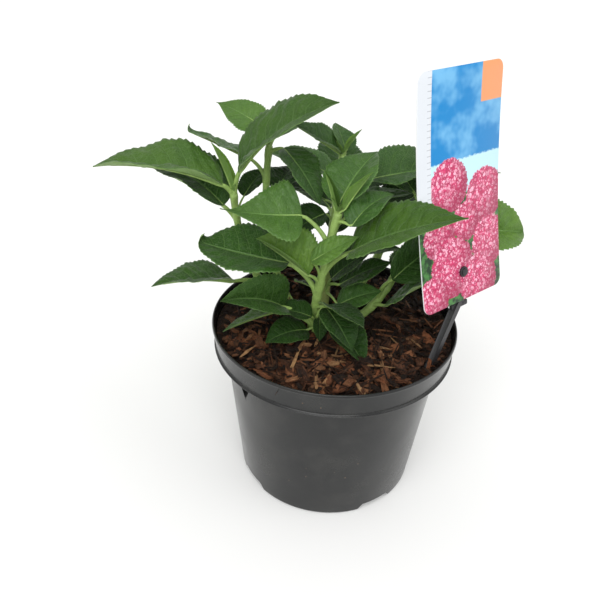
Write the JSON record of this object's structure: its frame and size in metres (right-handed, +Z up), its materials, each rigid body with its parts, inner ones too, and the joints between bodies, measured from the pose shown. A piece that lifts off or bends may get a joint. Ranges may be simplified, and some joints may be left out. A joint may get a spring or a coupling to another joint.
{
  "type": "potted hydrangea shrub",
  "caption": "Young leafy hydrangea, bushy and without blossom, in a tapered nursery pot of bark mulch, with a plain picture tag on a peg holder.",
  "frame": {"origin": "centre of the pot's flat underside", "axes": "+Z up along the pot's axis, -Y towards the side that the picture shows, +X to its right"},
  "size_m": [0.2938, 0.2042, 0.3009],
  "materials": {
    "pot": "dark grey moulded plastic, slightly glossy",
    "mulch": "rough chopped bark, brown",
    "stem": "smooth light green young stem",
    "leaf": "veined green leaf, slightly glossy",
    "tag": "thin printed plastic card",
    "holder": "black moulded plastic"
  },
  "bodies": {
    "root": {"pot": "pot", "bark_mulch": "mulch", "front_stem": "stem", "front_foliage": "leaf", "left_stem": "stem", "left_foliage": "leaf", "back_left_stem": "stem", "back_left_foliage": "leaf", "right_stem": "stem", "right_foliage": "leaf", "middle_stem": "stem", "middle_foliage": "leaf", "back_right_stem": "stem", "back_right_foliage": "leaf", "back_stem": "stem", "back_foliage": "leaf", "low_stem": "stem", "low_foliage": "leaf", "plant_tag": "tag", "tag_holder": "holder"}
  },
  "joints": []
}
